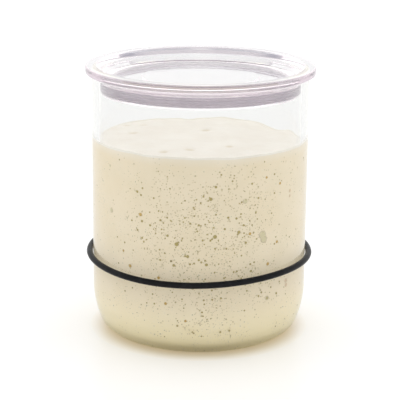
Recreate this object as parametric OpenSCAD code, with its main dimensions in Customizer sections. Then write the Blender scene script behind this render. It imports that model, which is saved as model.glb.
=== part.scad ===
// Sourdough starter jar: a thick glass jar with a drop-in lid, a soft seal round
// the lid's plug, and a cord ring on the glass that marks the starter's level.
// Millimetres, +Z up. The origin is the centre of the plane that the jar stands on.
// Every piece is turned from a half section in the (radius, height) plane.

/* [Jar] */
// Outside radius of the glass
jar_r = 46; // [42:0.5:52]
// Height of the glass, from the table to the rim
jar_h = 112; // [104:0.5:130]
// Thickness of the glass wall
wall = 3.2; // [2.8:0.1:4]
// Thickness of the glass base, above its hollow
base_t = 2.8; // [2.5:0.1:6]
// Height of the hollow under the base
hollow_h = 0.5; // [0.3:0.1:1.5]
// Width of the flat ring that the jar stands on
foot_w = 4.5; // [3:0.5:7]
// Radius that rounds each edge of the rim
rim_round = 1.2; // [0.6:0.1:1.3]

/* [Heel of the jar] */
// Height at which the outside starts to draw in
heel_h = 20; // [17:0.5:24]
// Radius of the long sweep below that height
sweep_r = 40; // [34:1:50]
// Radius of the corner between the sweep and the foot
heel_r = 8; // [6:0.5:10]
// Radius of the corner inside, between wall and floor
inside_r = 13; // [12:0.5:20]

/* [Starter] */
// Height of the starter's top, from the table
fill_h = 84.8; // [60:0.2:95]
// Width of its rounded shoulder, beside the glass
shoulder_w = 6; // [3:0.5:10]
// How much lower it meets the glass
shoulder_drop = 0.6; // [0.5:0.1:2.8]
// Clearance between the starter and the glass
starter_fit = 0.05; // [0.02:0.01:0.1]

/* [Lid] */
// How far the flange reaches past the glass
lid_over = 2.6; // [2:0.1:4]
// Thickness of the flange
flange_t = 3.1; // [2.5:0.1:4.5]
// Radius that rounds the flange's outer edges
flange_round = 0.5; // [0.2:0.1:1]
// Width of the flat ring on top, from the outer edge to the dish
ring_w = 5.2; // [4.6:0.1:7]
// Radius that rounds the edge between the ring and the dish
dish_round = 0.9; // [0.5:0.1:1.5]
// Depth of the dish, from the ring to its floor
dish_depth = 5.3; // [4.4:0.1:5.8]
// Radius of the cove between the dish's side and its floor
cove_r = 1.8; // [1:0.1:2.5]
// Thickness of the dish's floor
dish_t = 2; // [1.5:0.1:2.6]
// Thickness of the lid between the foot of the dish's side and the plug's outside
side_t = 3; // [2.4:0.1:4]
// Radius of the raised disc in the middle of the floor
disc_r = 24.7; // [15:0.1:32]
// Height of that disc
disc_h = 0.3; // [0.2:0.05:0.6]

/* [Plug and seal] */
// Clearance between the plug and the glass
plug_gap = 0.9; // [0.7:0.05:1.3]
// Depth of the plug, below the flange
plug_depth = 7.9; // [7.6:0.1:10]
// Thickness of the plug's wall behind the groove
plug_t = 2.2; // [1.6:0.1:3]
// Height of the plug's lip, below the groove
lip_h = 0.9; // [0.6:0.1:1.5]
// Radius of the fillets where the plug meets the flange and the dish's floor
corner_r = 1; // [0.5:0.1:1.1]
// Depth of the groove
groove_d = 1.2; // [0.8:0.1:1.6]
// Height of the seal
seal_h = 4; // [3:0.1:4.4]
// Clearance between the seal and its groove
seal_fit = 0.05; // [0.02:0.01:0.1]
// Clearance between the seal's fins and the glass
fin_gap = 0.4; // [0.3:0.05:0.6]
// Thickness of each fin where it leaves the seal
fin_t = 1.1; // [0.6:0.1:1.4]
// Thickness of each fin at its tip
fin_tip = 0.3; // [0.2:0.05:0.5]
// Number of fins on the seal
fin_count = 2; // [1:1:2]

/* [Level band] */
// Radius of the band's round cord
cord_r = 1.3; // [1:0.1:2]
// Clearance between the band and the glass
band_gap = 0.2; // [0.15:0.05:0.4]
// Height of the band's centre above the table
band_h = 34.3; // [30:0.1:60]
// Tilt of the band, in degrees
band_tilt = 1.8; // [0:0.1:4]
// Direction of the band's high side, in degrees from +X
band_high = 66; // [0:1:359]

/* [Hidden] */
$fn = 128;

bore_r = jar_r - wall;
floor_z = hollow_h + base_t;
sweep_c = [jar_r - sweep_r, heel_h];
heel_c = [sweep_c.x + sqrt(pow(sweep_r - heel_r, 2) - pow(heel_h - heel_r, 2)), heel_r];
heel_a = atan2(heel_c.y - sweep_c.y, heel_c.x - sweep_c.x);
foot_in = heel_c.x - foot_w;
hollow_lean = 3 * hollow_h;

lid_r = jar_r + lid_over;
lid_z = jar_h + flange_t;
dish_r = lid_r - ring_w;
dish_z = lid_z - dish_depth;
under_z = dish_z - dish_t;
plug_r = bore_r - plug_gap;
plug_z = jar_h - plug_depth;
groove_r = plug_r - groove_d;
groove_z = plug_z + lip_h;
groove_h = seal_h + 2 * seal_fit;
skirt_r = groove_r - plug_t;
lip_round = lip_h / 3;

band_r = jar_r + band_gap + cord_r;

// Points of an arc about c, from angle a0 to angle a1
function arc(c, r, a0, a1, steps = 10) =
    [for (i = [0:steps]) let (a = a0 + (a1 - a0) * i / steps) c + r * [cos(a), sin(a)]];

// The jar's inside from the middle of its floor to the foot of its straight wall, drawn in by a fit
function inside(fit) = concat(
    [[0, floor_z + fit]],
    arc([bore_r - inside_r, floor_z + inside_r], inside_r - fit, -90, 0, 16)
);

function reversed(points) = [for (i = [len(points) - 1:-1:0]) points[i]];

module jar() {
    outside = concat(
        [[0, hollow_h], [foot_in - hollow_lean, hollow_h], [foot_in, 0]],
        arc(heel_c, heel_r, -90, heel_a, 12),
        arc(sweep_c, sweep_r, heel_a, 0, 8),
        arc([jar_r - rim_round, jar_h - rim_round], rim_round, 0, 90, 6)
    );
    rim_inside = arc([bore_r + rim_round, jar_h - rim_round], rim_round, 90, 180, 6);
    color([0.86, 0.91, 0.93], 0.35)
        rotate_extrude()
            polygon(concat(outside, rim_inside, reversed(inside(0))));
}

module starter() {
    edge_r = bore_r - starter_fit;
    shoulder_r = (pow(shoulder_w, 2) + pow(shoulder_drop, 2)) / (2 * shoulder_drop);
    shoulder_c = [edge_r - shoulder_w, fill_h - shoulder_r];
    shoulder = arc(shoulder_c, shoulder_r, acos(shoulder_w / shoulder_r), 90, 6);
    color([0.94, 0.9, 0.8])
        rotate_extrude()
            polygon(concat(inside(starter_fit), shoulder, [[0, fill_h]]));
}

module lid() {
    // The dish's side runs straight from its rounded edge to the cove
    top = [dish_r + dish_round, lid_z - dish_round];
    cove = [plug_r - side_t - cove_r, dish_z + cove_r];
    // The straight side touches the edge's circle from above and the cove's from below
    span = top - cove;
    lean = atan2(span.y, span.x) + asin((dish_round + cove_r) / norm(span));
    upper = concat(
        [[0, dish_z + disc_h], [disc_r, dish_z + disc_h], [disc_r + disc_h, dish_z]],
        arc(cove, cove_r, -90, lean - 90, 8),
        arc(top, dish_round, lean + 90, 90, 6)
    );
    edge = concat(
        arc([lid_r - flange_round, lid_z - flange_round], flange_round, 90, 0, 5),
        arc([lid_r - flange_round, jar_h + flange_round], flange_round, 0, -90, 5)
    );
    corner = arc([plug_r + corner_r, jar_h - corner_r], corner_r, 90, 180, 6);
    plug = [
        [plug_r, groove_z + groove_h],
        [groove_r, groove_z + groove_h],
        [groove_r, groove_z],
        [plug_r, groove_z],
        [plug_r, plug_z + lip_round],
        [plug_r - lip_round, plug_z],
        [skirt_r + lip_round, plug_z],
        [skirt_r, plug_z + lip_round]
    ];
    under_corner = arc([skirt_r - corner_r, under_z - corner_r], corner_r, 0, 90, 6);
    color([0.86, 0.82, 0.88], 0.6)
        rotate_extrude()
            polygon(concat(upper, edge, corner, plug, under_corner, [[0, under_z]]));
}

module lid_seal() {
    body_z = groove_z + seal_fit;
    fin_r = bore_r - fin_gap;
    pitch = seal_h / fin_count;
    fins = [
        for (i = [0:fin_count - 1])
            let (z = body_z + pitch * (i + 0.5))
                each [[plug_r, z - fin_t / 2], [fin_r, z - fin_tip / 2], [fin_r, z + fin_tip / 2], [plug_r, z + fin_t / 2]]
    ];
    color([0.72, 0.68, 0.72])
        rotate_extrude()
            polygon(concat(
                [[groove_r + seal_fit, body_z], [plug_r, body_z]],
                fins,
                [[plug_r, body_z + seal_h], [groove_r + seal_fit, body_z + seal_h]]
            ));
}

module level_band() {
    color([0.09, 0.09, 0.1])
        translate([0, 0, band_h])
            rotate([0, 0, band_high])
                rotate([0, -band_tilt, 0])
                    rotate_extrude()
                        translate([band_r, 0])
                            circle(r = cord_r, $fn = 32);
}

jar();
starter();
lid();
lid_seal();
level_band();
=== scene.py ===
"""Sourdough starter jar: glass, starter, lid, seal and level band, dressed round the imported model."""
import math
import random

import bmesh
import bpy
from mathutils import Euler, Matrix, Vector, noise


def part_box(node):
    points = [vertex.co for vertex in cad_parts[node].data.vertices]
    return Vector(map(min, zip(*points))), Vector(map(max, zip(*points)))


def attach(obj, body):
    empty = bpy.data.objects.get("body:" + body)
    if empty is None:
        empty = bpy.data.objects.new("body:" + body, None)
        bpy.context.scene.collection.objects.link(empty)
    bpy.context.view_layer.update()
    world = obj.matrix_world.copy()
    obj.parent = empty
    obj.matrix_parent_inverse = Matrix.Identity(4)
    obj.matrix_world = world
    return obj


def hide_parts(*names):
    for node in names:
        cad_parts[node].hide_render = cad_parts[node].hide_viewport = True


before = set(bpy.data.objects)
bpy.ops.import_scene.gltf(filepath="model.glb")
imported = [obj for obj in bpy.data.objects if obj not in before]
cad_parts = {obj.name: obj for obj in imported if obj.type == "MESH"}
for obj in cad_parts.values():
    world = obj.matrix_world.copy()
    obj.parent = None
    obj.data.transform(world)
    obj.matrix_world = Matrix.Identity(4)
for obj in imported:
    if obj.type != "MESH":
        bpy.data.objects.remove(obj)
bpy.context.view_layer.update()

# The jar. Pressed soda-lime glass with a thick straight wall, a heel that sweeps in to a flat
# foot ring round a shallow hollow, and a rim rounded by the fire. It stands free on its foot.
MM = 0.001
TURNS = 256  # facets round each turned piece
jar_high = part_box("jar")[1]
starter_low, starter_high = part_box("starter")
jar_r = jar_high.x / MM
jar_h = jar_high.z / MM
starter_fit = 0.05
bore_r = starter_high.x / MM + starter_fit
floor_z = starter_low.z / MM - starter_fit
hollow_h = 0.5
hollow_lean = 3 * hollow_h
foot_w = 4.5
rim_round = 1.2
lid_gap = 0.03  # a hair between rim and lid, so that their faces don't share one plane
rim_z = jar_h - lid_gap
heel_h = 20
sweep_r = 40
heel_r = 8
inside_r = 13
stipple_shade_z = 0.7  # the underside is stippled and painted with amber shade up to this height, in mm
stipple_shade_end = 1.1  # and the stippling and the painted shade have faded out here


def arc(centre, radius, start, end, steps):
    """Points of an arc about a centre, from one angle to another, in degrees."""
    angles = [math.radians(start + (end - start) * i / steps) for i in range(steps + 1)]
    return [(centre[0] + radius * math.cos(a), centre[1] + radius * math.sin(a)) for a in angles]


def add_piece(name, shape, sharp=35):
    """A smooth-shaded object from a bmesh, with sharp edges where faces turn by more than an angle."""
    mesh = bpy.data.meshes.new(name)
    bmesh.ops.recalc_face_normals(shape, faces=shape.faces)
    shape.to_mesh(mesh)
    shape.free()
    mesh.shade_smooth()
    mesh.set_sharp_from_angle(angle=math.radians(sharp))
    piece = bpy.data.objects.new(name, mesh)
    bpy.context.scene.collection.objects.link(piece)
    return piece


def join_rings(shape, rings):
    """Faces between each ring of corners and the next. A ring of one corner is a pole."""
    for ring, after in zip(rings, rings[1:]):
        if len(ring) == 1 and len(after) == 1:
            continue
        for k in range(TURNS):
            corners = [ring[k % len(ring)], after[k % len(after)]]
            corners += [after[(k + 1) % len(after)], ring[(k + 1) % len(ring)]]
            shape.faces.new(list(dict.fromkeys(corners)))


def add_ring(shape, radius, height):
    """Corners round the axis in mm. The height is a number, or a function of the place across and back."""
    ring = []
    for k in range(TURNS if radius > 0.001 else 1):
        x = radius * math.cos(math.tau * k / TURNS)
        y = radius * math.sin(math.tau * k / TURNS)
        z = height(x, y) if callable(height) else height
        ring.append(shape.verts.new(Vector((x, y, z)) * MM))
    return ring


def braced(outline, hold=0.12, longest_step=1.2):
    """The same outline with a point close to each end of its straight stretches.

    Smooth shading then bends only at the rounded edges, and the flats refract as flats.
    """
    points = []
    for here, after in zip(outline, outline[1:] + outline[:1]):
        here, after = Vector(here), Vector(after)
        points.append(here)
        if (after - here).length > longest_step:
            step = (after - here).normalized() * hold
            points += [here + step, after - step]
    return points


def turned(name, outline):
    """A solid turned about Z from its half section, a closed run of (radius, height) in mm."""
    shape = bmesh.new()
    rings = [add_ring(shape, radius, height) for radius, height in braced(outline)]
    join_rings(shape, rings + rings[:1])
    return add_piece(name, shape)


class Wire:
    """One socket of a node tree. Sums written with it add Math nodes to the tree."""

    def __init__(self, tree, socket=None):
        self.tree = tree
        self.socket = socket

    def node(self, kind, settings, values, output=0):
        """A new node: its settings first, then the values or wires of its sockets, by name or number."""
        made = self.tree.nodes.new(kind)
        for name, value in settings.items():
            setattr(made, name, value)
        for name, value in values.items():
            if isinstance(value, Wire):
                self.tree.links.new(value.socket, made.inputs[name])
            else:
                made.inputs[name].default_value = value
        return Wire(self.tree, made.outputs[output] if made.outputs else None)

    def other(self, output):
        """Another output of this wire's node, by name or number."""
        return Wire(self.tree, self.socket.node.outputs[output])

    def named(self, name):
        """A number that a mesh carries under a name, in a geometry tree."""
        return self.node("GeometryNodeInputNamedAttribute", {"data_type": "FLOAT"}, {"Name": name})

    def math(self, operation, *values):
        """A Math node on numbers or wires."""
        return self.node("ShaderNodeMath", {"operation": operation}, dict(enumerate(values)))

    def __add__(self, other):
        return self.math("ADD", self, other)

    def __radd__(self, other):
        return self.math("ADD", other, self)

    def __sub__(self, other):
        return self.math("SUBTRACT", self, other)

    def __rsub__(self, other):
        return self.math("SUBTRACT", other, self)

    def __mul__(self, other):
        return self.math("MULTIPLY", self, other)

    def __rmul__(self, other):
        return self.math("MULTIPLY", other, self)

    def __truediv__(self, other):
        return self.math("DIVIDE", self, other)

    def step(self, low, high, start=0.0, end=1.0):
        """A smooth ramp from start to end, as this value goes from low to high."""
        return self.node("ShaderNodeMapRange", {"interpolation_type": "SMOOTHSTEP"}, {
            "Value": self, "From Min": low, "From Max": high, "To Min": start, "To Max": end,
        })

    def blend(self, first, second):
        """Mixes two colours by this value."""
        return self.node("ShaderNodeMix", {"data_type": "RGBA"}, {0: self, 6: first, 7: second}, 2)

    def noise(self, place, scale, detail=2.0, roughness=0.5):
        """Smooth noise from 0 to 1, with its scale in waves per metre."""
        return self.node("ShaderNodeTexNoise", {}, {
            "Vector": place, "Scale": scale, "Detail": detail, "Roughness": roughness,
        })

    def bump(self, height, depth):
        """Shading of a height from 0 to 1, as deep as is given in mm."""
        return self.node("ShaderNodeBump", {}, {"Height": height, "Distance": depth * MM})


def new_material(name):
    """A blank material, and a wire that adds nodes to it."""
    made = bpy.data.materials.new(name)
    made.use_nodes = True
    made.node_tree.nodes.clear()
    return made, Wire(made.node_tree)


def object_place(wire):
    """Object coordinates in metres, which stay with the piece as it moves."""
    return wire.node("ShaderNodeTexCoord", {}, {}, 3)


def set_surface(wire, surface, volume=None):
    """Ends a material with its surface and, where it has one, its volume."""
    values = {"Surface": surface}
    if volume:
        values["Volume"] = volume
    wire.node("ShaderNodeOutputMaterial", {}, values)


def principled(wire, values):
    """The general shader, with the values or wires of its sockets."""
    return wire.node("ShaderNodeBsdfPrincipled", {}, values)


def lets_light_through(wire, values, lost_glow, most_mirrored=3.5):
    """A clear shader that lights what is behind it straight.

    A ray that it has mirrored too often ends in a painted glow of the given colour, in place of the light it
    would still have found.
    """
    rays = wire.node("ShaderNodeLightPath", {}, {}, "Is Shadow Ray")
    lost = wire.math("GREATER_THAN", rays.other("Glossy Depth"), most_mirrored)
    clear = principled(wire, {
        **values, "Transmission Weight": 1.0, "Emission Strength": 1.0,
        "Emission Color": lost.blend((0, 0, 0, 1), lost_glow),
    })
    straight = wire.node("ShaderNodeBsdfTransparent", {}, {"Color": (1, 1, 1, 1)})
    free = wire.math("MAXIMUM", rays, rays.other("Is Diffuse Ray"))
    return wire.node("ShaderNodeMixShader", {}, {0: free, 1: clear, 2: straight})


def clear_glass():
    """Clear pressed glass, its outside very slightly wavy from the mould, its underside stippled and painted
    with amber shade.
    """
    made, wire = new_material("clear_glass")
    place = object_place(wire)
    waves = wire.noise(place, 45.0, 1.0)
    smears = wire.noise(place, 160.0, 3.0).step(0.55, 0.8)
    clean = smears.blend((0.972, 0.975, 0.974, 1), (0.966, 0.969, 0.970, 1))
    up = wire.node("ShaderNodeSeparateXYZ", {}, {0: place}, "Z")
    stipple_and_shade = up.step(stipple_shade_z * MM, stipple_shade_end * MM, 1.0, 0.0)
    surface = lets_light_through(wire, {
        # The stippled underside is also painted amber, as shade of the dough seen through the foot
        "Base Color": stipple_and_shade.blend(clean, (0.80, 0.72, 0.50, 1)),
        "Roughness": stipple_and_shade * 0.5,
        "IOR": 1.47,
        "Normal": wire.bump(waves, 0.02),
    # The painted glow of rays that the glass mirrors too often
    }, (0.78, 0.76, 0.70, 1))
    cast = wire.node("ShaderNodeVolumeAbsorption", {}, {"Color": (0.66, 0.65, 0.5, 1), "Density": 9.0})
    set_surface(wire, surface, cast)
    return made


sweep_c = (jar_r - sweep_r, heel_h)
heel_c = (sweep_c[0] + math.sqrt((sweep_r - heel_r) ** 2 - (heel_h - heel_r) ** 2), heel_r)
heel_a = math.degrees(math.atan2(heel_c[1] - sweep_c[1], heel_c[0] - sweep_c[0]))
foot_in = heel_c[0] - foot_w
inside_c = (bore_r - inside_r, floor_z + inside_r)
jar_outline = (
    [(0, hollow_h), (foot_in - hollow_lean, hollow_h), (foot_in, 0)]
    + arc(heel_c, heel_r, -90, heel_a, 16)
    + arc(sweep_c, sweep_r, heel_a, 0, 16)
    + arc((jar_r - rim_round, rim_z - rim_round), rim_round, 0, 90, 8)
    + arc((bore_r + rim_round, rim_z - rim_round), rim_round, 90, 180, 8)
    + arc(inside_c, inside_r, 0, -90, 24)
    + [(0, floor_z)]
)
jar = turned("jar_glass", jar_outline)
jar.data.materials.append(clear_glass())
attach(jar, "jar")
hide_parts("jar")

# The starter. A wet, airy dough of flour and water, poured in and risen. It lies flat against the
# glass, which it wets, so that it looks deeper there, and it creeps up the wall in a thin pale film.
starter_h = starter_high.z / MM
contact = 0.05  # the dough's skin lies just inside the glass's own face
wet_r = bore_r + contact
film_w = 1.3
film_h = 0.6
edge_drop = 0.1  # the skin on the glass begins this far below the top
edge_h = 0.25  # and this is the height of its first row of faces
swell_room = 0.45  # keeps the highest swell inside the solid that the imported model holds
back_sag = 1.9  # how much lower the top lies at the back wall
top_steps = 48
film_steps = 8
sides_steps = 40
heel_steps = 30
crowded_out = 0.85  # below 1, so that the top's rings lie closer towards the wall
edge_wet = 0.55  # how wet the dough looks where it meets the film, from 0 to 1
wet_gain = 0.25  # and how much wetter with each ring below
widest_dent = 4  # reach of the dents that get painted brown shade, in mm
foot_painted_light = 4  # painted light: the side is lightest up to this height, in mm
foot_painted_light_end = 26  # and has its own colour from here
# Swells and dents of the top: place across and back, reach and rise, in mm
SWELLS = [
    (33, 23, 11, -2.3), (42, 5, 6, -0.9), (-5, 42, 4, -0.6), (10, 42, 5, 0.5), (-38, 12, 7, -0.5),
    (-12, 18, 10, 0.3), (16, -12, 9, 0.3), (-20, -8, 9, 0.25), (28, -18, 7, -0.3), (5, -5, 12, -0.25),
    (-25.6, 24.2, 2.2, -1.1), (-29, 6, 2.6, -0.8), (2.3, 13.2, 2.4, -1.1), (-4.3, -25, 2.4, -0.8),
    (-14.5, -28.8, 2.2, -0.7), (20, 32, 3.2, 0.6), (-33, 22, 2.0, -0.5), (12, -20, 1.8, -0.4),
]
# Unevenness of the top and of the film's edge: rise in mm, waves per mm, and a shift into other noise
TOP_ROUGHNESS = [(0.4, 0.07, 0), (0.22, 0.2, 3), (0.07, 0.7, 9)]
FILM_ROUGHNESS = (0.15, 0.12, 5)


def nearness(across, back, reach):
    """1 in the middle of a swell or dent, and next to 0 past twice its reach."""
    return math.exp(-(across**2 + back**2) / reach**2)


def uneven(x, y, rise, waves, shift):
    """A smooth random rise or fall at a place, in mm."""
    return rise * noise.noise(Vector((x, y, shift)) * waves)


def top_height(x, y):
    """Height of the dough's top at a place, in mm."""
    swell = sum(rise * nearness(x - at, y - back, reach) for at, back, reach, rise in SWELLS)
    rough = sum(uneven(x, y, *kind) for kind in TOP_ROUGHNESS)
    sag = back_sag * max(0.0, y / wet_r) ** 2
    return starter_h - swell_room + swell + rough - sag


def dent_depth(x, y):
    """How deep in one of the narrow dents a place lies, from 0 to 1."""
    near = [
        nearness(x - at, y - back, reach) for at, back, reach, rise in SWELLS
        if reach < widest_dent and rise < 0
    ]
    return min(1.0, sum(near))


def film_top(x, y):
    """The film's upper edge, where it thins out on the glass."""
    return top_height(x, y) + film_h + uneven(x, y, *FILM_ROUGHNESS)


def skin_top(x, y):
    """Where the skin on the glass begins under the film, below its first row of faces."""
    return top_height(x, y) - edge_drop - edge_h


def dough_shape():
    """The dough as a closed turned mesh, its skin marked as wet where it lies on the glass."""
    shape = bmesh.new()
    wet = shape.verts.layers.float.new("wet")
    dent = shape.verts.layers.float.new("dent")
    dry_r = wet_r - film_w
    rings = []
    for i in range(top_steps + 1):
        rings.append(add_ring(shape, dry_r * (i / top_steps) ** crowded_out, top_height))
        for corner in rings[-1]:
            corner[dent] = dent_depth(corner.co.x / MM, corner.co.y / MM)
    for i in range(1, film_steps + 1):
        share = i / film_steps
        rings.append(add_ring(
            shape, dry_r + film_w * share,
            lambda x, y, s=share: top_height(x, y) * (1 - s**3) + film_top(x, y) * s**3,
        ))
    rings.append(add_ring(shape, wet_r, lambda x, y: skin_top(x, y) + edge_h))
    rings.append(add_ring(shape, wet_r, skin_top))
    dry_rings = len(rings) - 1
    for i in range(1, sides_steps):
        share = i / sides_steps
        rings.append(add_ring(
            shape, wet_r, lambda x, y, s=share: skin_top(x, y) * (1 - s) + inside_c[1] * s,
        ))
    for radius, height in arc(inside_c, inside_r + contact, 0, -90, heel_steps) + [(0, floor_z - contact)]:
        rings.append(add_ring(shape, radius, height))
    for depth, ring in enumerate(rings[dry_rings:]):
        for corner in ring:
            corner[wet] = min(1.0, edge_wet + wet_gain * depth)
    join_rings(shape, rings)
    return shape


def specks(wire, place, spacing, widest, seed):
    """Specks that crowd in some parts: how deep a place lies in one, and in its halo, from 0 to 1."""
    moved = wire.node("ShaderNodeVectorMath", {"operation": "ADD"}, {0: place, 1: (seed, seed, seed)})
    cells = wire.node("ShaderNodeTexVoronoi", {}, {"Vector": moved, "Scale": 1 / (spacing * MM)})
    crowd = wire.noise(cells.other("Position"), 70.0, 2.0).step(0.38, 0.62, 0.25, 1.0)
    chance = wire.node("ShaderNodeSeparateColor", {}, {0: cells.other("Color")}).step(0.0, 1.0, 0.45, 1.0)
    reach = crowd * chance * (widest / spacing)
    return (cells / reach).step(1.0, 0.5), (cells / reach).step(2.4, 1.1)


def dough():
    """Cream dough, pale and dry on top with painted shade in its dents, deeper and peppered with bubbles
    where the glass is wet, the bubbles painted with shade and a highlight, and the side painted lighter low
    down.
    """
    made, wire = new_material("dough")
    place = object_place(wire)
    wet = wire.node("ShaderNodeAttribute", {"attribute_name": "wet"}, {}, "Fac")
    mottle = wire.noise(place, 90.0, 3.0).step(0.3, 0.7)
    cloud = wire.noise(place, 38.0, 3.0, 0.6).step(0.35, 0.7)
    top = mottle.blend((0.92, 0.865, 0.765, 1), (0.955, 0.91, 0.82, 1))
    # Painted brown shade in the narrow dents of the top
    dent = wire.node("ShaderNodeAttribute", {"attribute_name": "dent"}, {}, "Fac")
    top = (0.6 * dent.step(0.2, 0.9)).blend(top, (0.74, 0.64, 0.46, 1))
    side = mottle.blend((0.885, 0.775, 0.565, 1), (0.92, 0.805, 0.60, 1))
    side = (0.5 * cloud).blend(side, (0.90, 0.765, 0.525, 1))
    up = wire.node("ShaderNodeSeparateXYZ", {}, {0: place}, "Z")
    # Painted light low on the side, fading out upwards
    side = up.step(foot_painted_light * MM, foot_painted_light_end * MM, 1.0, 0.0).blend(side, (1.0, 0.89, 0.585, 1))
    # Pinprick bubbles: painted shade in the middle of each, and a painted highlight in the halo round it
    for spacing, widest, seed in ((0.8, 0.2, 0.0), (1.9, 0.4, 3.0)):
        deep, halo = specks(wire, place, spacing, widest, seed)
        side = (0.4 * halo).blend(side, (0.93, 0.84, 0.64, 1))
        side = (0.75 * deep).blend(side, (0.38, 0.34, 0.17, 1))
    grain = wire.noise(place, 700.0, 4.0)
    set_surface(wire, principled(wire, {
        "Base Color": wet.blend(top, side),
        "Roughness": 0.6,
        "Normal": wire.bump(grain, 0.08),
    }))
    return made


starter = add_piece("starter_dough", dough_shape(), 60)
starter.data.materials.append(dough())
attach(starter, "jar")
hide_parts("starter")

# Bubbles of gas that the dough presses flat against the glass. The larger ones are placed as they
# are seen, in degrees from the front, height and width in mm; the pinprick ones are scattered.
# Each colour is painted shade for the hollow of a bubble. Its fourth number is 1 for a bubble with a wide rim
# of painted highlight, and 0 for one with a narrow plain rim.
OLIVE = (0.42, 0.335, 0.10, 0)
OLIVE_DARK = (0.28, 0.22, 0.06, 0)
RUST = (0.57, 0.37, 0.09, 0)
GREY = (0.52, 0.43, 0.20, 1)
GREEN = (0.70, 0.63, 0.40, 0)
TAN = (0.76, 0.58, 0.38, 0)
BUBBLES = [
    (-33, 59.5, 1.4, RUST), (-45, 42.3, 1.0, RUST), (-40, 36.5, 1.4, RUST), (38, 75, 1.0, RUST),
    (48, 71.3, 1.1, RUST), (57, 66.8, 1.3, TAN), (57, 64.6, 1.1, TAN), (28, 52.3, 1.2, RUST),
    (46.5, 46.5, 1.2, RUST), (40, 37.9, 1.4, RUST), (-18, 22.9, 1.2, RUST), (-7, 16.1, 1.0, RUST),
    (-22, 33.7, 1.2, RUST),
    (-32, 56.8, 1.0, OLIVE), (-27, 55.6, 0.9, OLIVE), (-21, 58.3, 0.9, OLIVE), (-35, 68.9, 1.0, OLIVE),
    (-12, 48.8, 1.6, OLIVE), (-6, 43.8, 1.2, OLIVE), (-15, 41.4, 0.9, OLIVE_DARK), (-13.5, 39.7, 1.1, OLIVE),
    (-17, 52.1, 1.0, OLIVE), (6, 68, 1.3, OLIVE), (8.6, 73, 1.0, OLIVE), (21.5, 53.5, 1.3, OLIVE),
    (8.4, 52.2, 1.5, OLIVE), (4, 40.4, 1.2, OLIVE), (15.4, 60, 0.9, OLIVE), (20, 59.4, 0.9, OLIVE),
    (13.6, 55.3, 0.9, OLIVE), (25.6, 48.7, 1.0, OLIVE), (12, 25.8, 0.9, OLIVE), (29, 36.2, 1.0, OLIVE),
    (47, 23.9, 1.0, OLIVE), (40, 23, 1.2, GREY), (36, 51, 2.8, GREEN), (36.9, 49, 2.6, GREEN),
    (25, 66.3, 1.8, GREEN), (-55, 58.1, 1.8, GREEN), (55, 28, 1.6, TAN), (55.4, 26, 1.5, TAN),
    (-56, 76.9, 1.0, GREEN),
]
# Crowds of pinprick bubbles: degrees from the front and height of the middle, reach round in degrees
# and up in mm, how abruptly the crowd ends, and its weight
CROWDS = [
    (2, 49, 38, 29, 4, 1.0), (3, 18, 18, 14, 2, 0.7), (150, 46, 32, 26, 4, 0.4), (-150, 46, 32, 26, 4, 0.4),
]
pinpricks = 3500
pinprick_seed = 7
pinprick_low = 8
pinprick_high = 82
finest = 0.25  # width of the finest pinprick bubble, in mm
width_range = 0.62  # how much wider the widest one can be, in mm
rareness = 9  # the higher, the fewer wide ones
widest_grey = 0.5  # the wider ones are olive
sparse = 0.1  # how thickly they lie outside the crowds
sparse_left = 0.04  # and there to the left of a place
left_from = -25  # in degrees
crowded = 0.8  # how much more thickly in the middle of a crowd
# Patchiness of the crowds: its mean, its swing, its waves per degree and per mm, and its barest patch
patch_mean = 0.65
patch_swing = 0.6
patch_waves = (0.09, 0.11)
patch_shift = 2  # into other noise
patch_least = 0.1
# Width of a bubble with its rim, against its own width
wide_rim = 1.9
narrow_rim = 1.3
bubble_t = 0.1
bubble_sides = 8


def crowding(degrees, height):
    """How thickly the pinprick bubbles lie at a place on the wall, from 0 to 1."""
    crowd = max(
        weight * math.exp(-((degrees - turn) / wide) ** end - ((height - level) / tall) ** end)
        for turn, level, wide, tall, end, weight in CROWDS
    )
    around = sparse if degrees > left_from else sparse_left
    place = Vector((degrees * patch_waves[0], height * patch_waves[1], patch_shift))
    patchy = patch_mean + patch_swing * noise.noise(place)
    return (around + crowded * crowd) * max(patch_least, patchy)


def scattered(count, seed):
    """Pinprick bubbles in the same form as BUBBLES, drawn at random where they crowd."""
    draw = random.Random(seed)
    found = []
    while len(found) < count:
        degrees = draw.uniform(-180, 180)
        height = draw.uniform(pinprick_low, pinprick_high)
        if draw.random() < crowding(degrees, height):
            width = finest + width_range * draw.random() ** rareness
            found.append((degrees, height, width, GREY if width < widest_grey else OLIVE))
    return found


def bubble_points(name, bubbles):
    """A mesh of loose points on the dough's skin, which carry each bubble's width, turn and tint."""
    mesh = bpy.data.meshes.new(name)
    places, turns = [], []
    for degrees, height, width, tint in bubbles:
        turn = math.radians(degrees - 90)
        places.append(Vector((wet_r * math.cos(turn), wet_r * math.sin(turn), height)) * MM)
        turns.append(Vector((0, math.pi / 2, turn)))
    mesh.from_pydata(places, [], [])
    for kept, kind in (("width", "FLOAT"), ("turn", "FLOAT_VECTOR"), ("tint", "FLOAT_COLOR")):
        mesh.attributes.new(kept, kind, "POINT")
    for i, (_, _, width, tint) in enumerate(bubbles):
        rim = wide_rim if tint[3] else narrow_rim
        mesh.attributes["width"].data[i].value = width * rim * MM
        mesh.attributes["turn"].data[i].vector = turns[i]
        mesh.attributes["tint"].data[i].color = tint
    return mesh


def from_axis(wire, place, unit=1.0):
    """How far a place lies from the upright axis, counted in units of so many metres."""
    flat = wire.node("ShaderNodeVectorMath", {"operation": "MULTIPLY"}, {
        0: place, 1: (1 / unit, 1 / unit, 0),
    })
    return wire.node("ShaderNodeVectorMath", {"operation": "LENGTH"}, {0: flat}, "Value")


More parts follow.
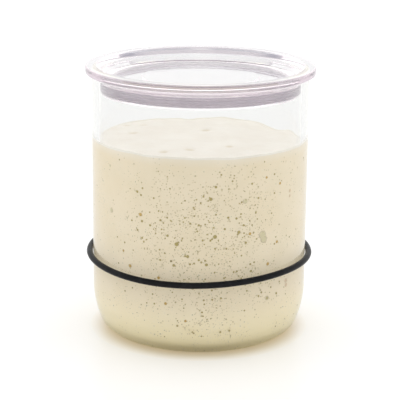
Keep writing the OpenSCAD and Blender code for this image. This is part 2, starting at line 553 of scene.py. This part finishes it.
def bubble_maker():
    """A node tree that sets a flat lens on each point, upright to the wall, and marks its edge."""
    tree = bpy.data.node_groups.new("bubble_maker", "GeometryNodeTree")
    for name, way, kind in (
        ("Points", "INPUT", "NodeSocketGeometry"), ("Sides", "INPUT", "NodeSocketInt"),
        ("Thickness", "INPUT", "NodeSocketFloat"), ("Finish", "INPUT", "NodeSocketMaterial"),
        ("Bubbles", "OUTPUT", "NodeSocketGeometry"),
    ):
        tree.interface.new_socket(name, in_out=way, socket_type=kind)
    wire = Wire(tree)
    given = wire.node("NodeGroupInput", {}, {}, "Points")
    ball_r = 0.5
    ball = wire.node("GeometryNodeMeshUVSphere", {}, {
        "Segments": given.other("Sides"), "Rings": 4, "Radius": ball_r,
    })
    reach = from_axis(wire, wire.node("GeometryNodeInputPosition", {}, {}), ball_r)
    marked = wire.node("GeometryNodeStoreNamedAttribute", {"data_type": "FLOAT", "domain": "POINT"}, {
        "Geometry": ball, "Name": "edge", "Value": reach,
    })
    size = wire.node("ShaderNodeCombineXYZ", {}, {
        0: wire.named("width"), 1: wire.named("width"), 2: given.other("Thickness"),
    })
    facing = wire.node("GeometryNodeInputNamedAttribute", {"data_type": "FLOAT_VECTOR"}, {"Name": "turn"})
    lenses = wire.node("GeometryNodeInstanceOnPoints", {}, {
        "Points": given, "Instance": marked, "Scale": size,
        "Rotation": wire.node("FunctionNodeEulerToRotation", {}, {0: facing}),
    })
    solid = wire.node("GeometryNodeRealizeInstances", {}, {"Geometry": lenses})
    dressed = wire.node("GeometryNodeSetMaterial", {}, {"Geometry": solid, "Material": given.other("Finish")})
    wire.node("NodeGroupOutput", {}, {"Bubbles": dressed})
    return tree


def grown(name, points, tree, inputs):
    """The plain mesh that a node tree makes on a mesh, as a new object."""
    base = bpy.data.objects.new(name, points)
    bpy.context.scene.collection.objects.link(base)
    grower = base.modifiers.new("grow", "NODES")
    grower.node_group = tree
    for item in tree.interface.items_tree:
        if item.in_out == "INPUT" and item.name in inputs:
            grower[item.identifier] = inputs[item.name]
    ready = base.evaluated_get(bpy.context.evaluated_depsgraph_get())
    base_mesh = bpy.data.meshes.new_from_object(ready)
    base.modifiers.remove(grower)
    base.data = base_mesh
    base_mesh.shade_smooth()
    return base


def painted_bubble():
    """A bubble seen through the glass: painted shade deep in the middle, soft at its edge, with a painted
    highlight at its rim.
    """
    made, wire = new_material("painted_bubble")
    tint = wire.node("ShaderNodeAttribute", {"attribute_name": "tint"}, {}, "Color")
    edge = wire.node("ShaderNodeAttribute", {"attribute_name": "edge"}, {}, "Fac")
    beside = (0.86, 0.75, 0.545, 1)
    # A painted highlight at the rim, where the tint's fourth number is 1
    rim = tint.other("Alpha").blend(beside, (0.93, 0.83, 0.64, 1))
    core = edge.step(tint.other("Alpha").step(0.0, 1.0, 0.65, 0.4), 1.0)
    set_surface(wire, principled(wire, {
        "Base Color": edge.step(0.8, 1.0).blend(core.blend(tint, rim), beside),
        "Roughness": 0.6,
    }))
    return made


bubbles = grown(
    "starter_bubbles", bubble_points("bubble_points", BUBBLES + scattered(pinpricks, pinprick_seed)),
    bubble_maker(), {"Sides": bubble_sides, "Thickness": bubble_t * MM, "Finish": painted_bubble()},
)
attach(bubbles, "jar")

# The lid. One clear plastic moulding with a lilac cast: a thick flat ring that lies on the rim,
# round a shallow dish, and a short plug wall below with a groove round it for the seal.
lid_low, lid_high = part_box("lid")
seal_low, seal_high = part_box("lid_seal")
lid_r = lid_high.x / MM
lid_z = lid_high.z / MM
plug_z = lid_low.z / MM
flange_round = 0.5
ring_w = 5.2
dish_round = 0.9
dish_depth = 5.3
cove_r = 1.8
dish_t = 2
side_t = 3
disc_r = 24.7
disc_h = 0.3
plug_gap = 0.9
groove_d = 1.2
plug_t = 2.2
corner_r = 1
seal_fit = 0.05
lip_h = seal_low.z / MM - seal_fit - plug_z
groove_h = (seal_high.z - seal_low.z) / MM + 2 * seal_fit
dish_r = lid_r - ring_w
dish_z = lid_z - dish_depth
under_z = dish_z - dish_t
plug_r = bore_r - plug_gap
groove_r = plug_r - groove_d
groove_z = plug_z + lip_h
skirt_r = groove_r - plug_t
lip_round = lip_h / 3
# Painted shade, faint on the flat ring and deep lilac on the lid's outer edge: radii where each begins and is
# full
ring_shade = (dish_r + 0.4, dish_r + 1.2)
edge_shade = (lid_r - 0.4, lid_r - 0.15)
dish_top = Vector((dish_r + dish_round, lid_z - dish_round))
cove = Vector((plug_r - side_t - cove_r, dish_z + cove_r))
span = dish_top - cove
lean = math.degrees(math.atan2(span.y, span.x) + math.asin((dish_round + cove_r) / span.length))
lid_outline = (
    [(0, under_z)]
    + arc((skirt_r - corner_r, under_z - corner_r), corner_r, 90, 0, 8)
    + [(skirt_r, plug_z + lip_round), (skirt_r + lip_round, plug_z), (plug_r - lip_round, plug_z)]
    + [(plug_r, plug_z + lip_round), (plug_r, groove_z), (groove_r, groove_z)]
    + [(groove_r, groove_z + groove_h), (plug_r, groove_z + groove_h)]
    + arc((plug_r + corner_r, jar_h - corner_r), corner_r, 180, 90, 8)
    + arc((lid_r - flange_round, jar_h + flange_round), flange_round, -90, 0, 6)
    + arc((lid_r - flange_round, lid_z - flange_round), flange_round, 0, 90, 6)
    + arc(dish_top, dish_round, 90, lean + 90, 10)
    + arc(cove, cove_r, lean - 90, -90, 12)
    + [(disc_r + disc_h, dish_z), (disc_r, dish_z + disc_h), (0, dish_z + disc_h)]
)


def lilac_plastic():
    """Clear moulded plastic with a faint lilac cast, with faint painted shade on its flat ring and deep
    painted shade at its edge, and deeper where light goes far in it.
    """
    made, wire = new_material("lilac_plastic")
    place = object_place(wire)
    flow = wire.noise(place, 60.0, 2.0)
    reach = from_axis(wire, place)
    clear = flow.blend((0.977, 0.975, 0.980, 1), (0.970, 0.967, 0.974, 1))
    # Painted shade on the flat ring and on the outer edge
    ring = reach.step(ring_shade[0] * MM, ring_shade[1] * MM).blend(clear, (0.965, 0.958, 0.968, 1))
    edge = reach.step(edge_shade[0] * MM, edge_shade[1] * MM).blend(ring, (0.51, 0.455, 0.50, 1))
    surface = lets_light_through(wire, {
        "Base Color": edge,
        "Roughness": 0.0,
        "IOR": 1.5,
        "Normal": wire.bump(flow, 0.02),
    # The painted glow of rays that the plastic mirrors too often
    }, (0.74, 0.69, 0.70, 1))
    cast = wire.node("ShaderNodeVolumeAbsorption", {}, {"Color": (0.50, 0.455, 0.49, 1), "Density": 18.0})
    set_surface(wire, surface, cast)
    return made


lid = turned("lid_moulding", lid_outline)
lid.data.materials.append(lilac_plastic())
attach(lid, "lid")
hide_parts("lid")

# The seal. A soft ring of translucent silicone, snapped into the groove of the plug, with two
# thin fins that wipe the glass as the lid is pushed in.
fin_r = seal_high.x / MM
seal_h = (seal_high.z - seal_low.z) / MM
seal_z = seal_low.z / MM
seal_in = groove_r + seal_fit
fin_t = 1.1
fin_tip = 0.3
fin_count = 2
seal_outline = [(seal_in, seal_z), (plug_r, seal_z)]
for fin in range(fin_count):
    fin_z = seal_z + seal_h * (fin + 0.5) / fin_count
    seal_outline += [(plug_r, fin_z - fin_t / 2)]
    seal_outline += arc((fin_r - fin_tip / 2, fin_z), fin_tip / 2, -80, 80, 6)
    seal_outline += [(plug_r, fin_z + fin_t / 2)]
seal_outline += [(plug_r, seal_z + seal_h), (seal_in, seal_z + seal_h)]


def lilac_silicone():
    """Translucent lilac-grey silicone with a faint powdery skin."""
    made, wire = new_material("lilac_silicone")
    place = object_place(wire)
    cloud = wire.noise(place, 120.0, 3.0)
    set_surface(wire, principled(wire, {
        "Base Color": cloud.step(0.3, 0.7).blend((0.70, 0.625, 0.70, 1), (0.745, 0.67, 0.74, 1)),
        "Roughness": 0.35,
        "IOR": 1.41,
        "Transmission Weight": 0.5,
        "Normal": wire.bump(wire.noise(place, 1500.0, 3.0), 0.02),
    }))
    return made


seal = turned("seal_ring", seal_outline)
seal.data.materials.append(lilac_silicone())
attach(seal, "lid")
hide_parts("lid_seal")

# The level band. A ring of soft black cord that grips the glass, pushed down to the height at
# which the starter stood when it was fed. It sits a little askew and not quite flat.
band_low, band_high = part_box("level_band")
cord_r = 1.3
band_gap = 0.2
band_r = jar_r + band_gap + cord_r
band_h = (band_low.z + band_high.z) / 2 / MM
band_tilt = 1.8
band_lean = 66
cord_sides = 32
flash_h = 0.035  # how far the line left by the mould stands proud
# Waves of the cord up and down the glass: how many round it, rise in mm, and the turn of its crest
BAND_WAVES = [(0, -0.26, 0), (1, 0.37, 180), (2, 0.35, 75), (3, 0.39, 40)]


def band_wave(turn):
    """How far the cord lies above its own flat ring at a turn round the jar, in mm."""
    return sum(rise * math.cos(count * (turn + math.radians(crest))) for count, rise, crest in BAND_WAVES)


def band_shape():
    """A round cord bent into a ring, tipped and waved, with the fine flash line of its mould."""
    shape = bmesh.new()
    tip = Matrix.Rotation(math.radians(band_lean), 3, "Z") @ Matrix.Rotation(math.radians(-band_tilt), 3, "Y")
    rings = []
    for k in range(TURNS):
        turn = math.tau * k / TURNS
        centre_z = band_h + band_wave(turn + math.radians(band_lean))
        ring = []
        for side in range(cord_sides):
            around = math.tau * side / cord_sides
            flash = flash_h if side in (0, cord_sides // 2) else 0.0
            reach = band_r + (cord_r + flash) * math.cos(around)
            point = Vector((reach * math.cos(turn), reach * math.sin(turn), cord_r * math.sin(around)))
            ring.append(shape.verts.new((tip @ point + Vector((0, 0, centre_z))) * MM))
        rings.append(ring)
    for ring, after in zip(rings, rings[1:] + rings[:1]):
        for side in range(cord_sides):
            beyond = (side + 1) % cord_sides
            shape.faces.new([ring[side], after[side], after[beyond], ring[beyond]])
    return shape


def black_rubber():
    """Satin black rubber, dusted, with a fine grain."""
    made, wire = new_material("black_rubber")
    place = object_place(wire)
    dust = wire.noise(place, 400.0, 4.0)
    set_surface(wire, principled(wire, {
        "Base Color": dust.step(0.45, 0.8).blend((0.006, 0.006, 0.007, 1), (0.016, 0.016, 0.018, 1)),
        "Roughness": dust.step(0.3, 0.7, 0.3, 0.42),
        "Specular IOR Level": 0.14,
        "Normal": wire.bump(wire.noise(place, 2500.0, 2.0), 0.02),
    }))
    return made


band = add_piece("level_band_cord", band_shape())
band.data.materials.append(black_rubber())
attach(band, "level_band")
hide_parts("level_band")

# The table, the light and the camera. The jar stands on a white sheet under broad soft light from
# above and from both sides, seen from a little above by a long lens.
table_half = 1500
sheet_glow = 0.115  # lifts what the camera sees of the sheet to white
painted_shadow_r = 37  # painted warm shadow on the sheet next to the foot, out to here
painted_shadow_end = 49.5  # and the painted shadow has faded out here
sky_level = 0.72
sky_overhead = 0.5
sky_sides = 0.34
sky_viewer = 0.22  # how much less comes from the viewer's side
sky_behind = 0.1  # and how much more from behind the jar
panel_shade = 0.45  # how dark the two high panels are that the clear pieces mirror
camera_right = 0.2
camera_back = 615.8
camera_up = 224.6
camera_pitch = 15.34
camera_roll = 0.522
camera_lens = 132.98


def seen_straight(wire):
    """1 for what the camera sees, itself or by way of something clear or glossy, and 0 for other light."""
    rays = wire.node("ShaderNodeLightPath", {}, {}, "Is Camera Ray")
    clear = wire.math("MAXIMUM", rays.other("Is Glossy Ray"), rays.other("Is Transmission Ray"))
    straight = wire.math("LESS_THAN", rays.other("Diffuse Depth"), 0.5)
    return wire.math("MAXIMUM", rays, clear) * straight


sheet = bmesh.new()
bmesh.ops.create_grid(sheet, x_segments=8, y_segments=8, size=table_half * MM)
table = add_piece("table", sheet)
made, wire = new_material("white_sheet")
reach = from_axis(wire, object_place(wire))
rays = wire.node("ShaderNodeLightPath", {}, {}, "Is Camera Ray")
glow = wire.node("ShaderNodeEmission", {}, {"Color": (1, 1, 1, 1), "Strength": sheet_glow * rays})
# Painted warm shadow round the foot, left out of the light that the sheet bounces
painted_shadow = reach.step(painted_shadow_r * MM, painted_shadow_end * MM, 1.0, 0.0) * (1 - rays.other("Is Diffuse Ray"))
paper = principled(wire, {
    "Base Color": painted_shadow.blend((0.9, 0.9, 0.9, 1), (0.57, 0.45, 0.25, 1)),
    "Roughness": 0.3,
})
set_surface(wire, wire.node("ShaderNodeAddShader", {}, {0: glow, 1: paper}))
table.data.materials.append(made)

world = bpy.data.worlds.new("studio")
bpy.context.scene.world = world
world.use_nodes = True
world.node_tree.nodes.clear()
wire = Wire(world.node_tree)
direct = seen_straight(wire)
across = wire.node("ShaderNodeSeparateXYZ", {}, {0: wire.node("ShaderNodeTexCoord", {}, {}, 0)})
back = across.other("Y")
up = across.other("Z")
sides = across * across
# What lights the jar: soft light from all round, strongest from overhead and from both sides
soft = sky_level + sky_overhead * up.step(0.0, 1.0) + sky_sides * sides
soft = soft - sky_viewer * back.step(0.2, -1.0) + sky_behind * back.step(-0.2, 1.0)
# What is seen: plain white, and two faintly blue panels high up on the left and the right
panels = up.step(0.35, 0.8) * sides.step(0.001, 0.03)
strength = direct * (1 - panel_shade * panels) + (1 - direct) * soft
colour = (direct * panels).blend((1, 1, 1, 1), (0.84, 0.88, 1.0, 1))
background = wire.node("ShaderNodeBackground", {}, {"Color": colour, "Strength": strength})
wire.node("ShaderNodeOutputWorld", {}, {"Surface": background})

camera_data = bpy.data.cameras.new("camera")
camera_data.lens = camera_lens
camera_data.sensor_width = 36
camera_data.clip_start = 0.01
camera = bpy.data.objects.new("camera", camera_data)
bpy.context.scene.collection.objects.link(camera)
pitched = Euler((math.radians(90 - camera_pitch), 0, 0)).to_matrix()
rolled = pitched @ Matrix.Rotation(math.radians(camera_roll), 3, "Z")
camera_place = Vector((camera_right, -camera_back, camera_up)) * MM
camera.matrix_world = Matrix.LocRotScale(camera_place, rolled, None)
bpy.context.scene.camera = camera
bpy.context.scene.view_settings.view_transform = "Standard"
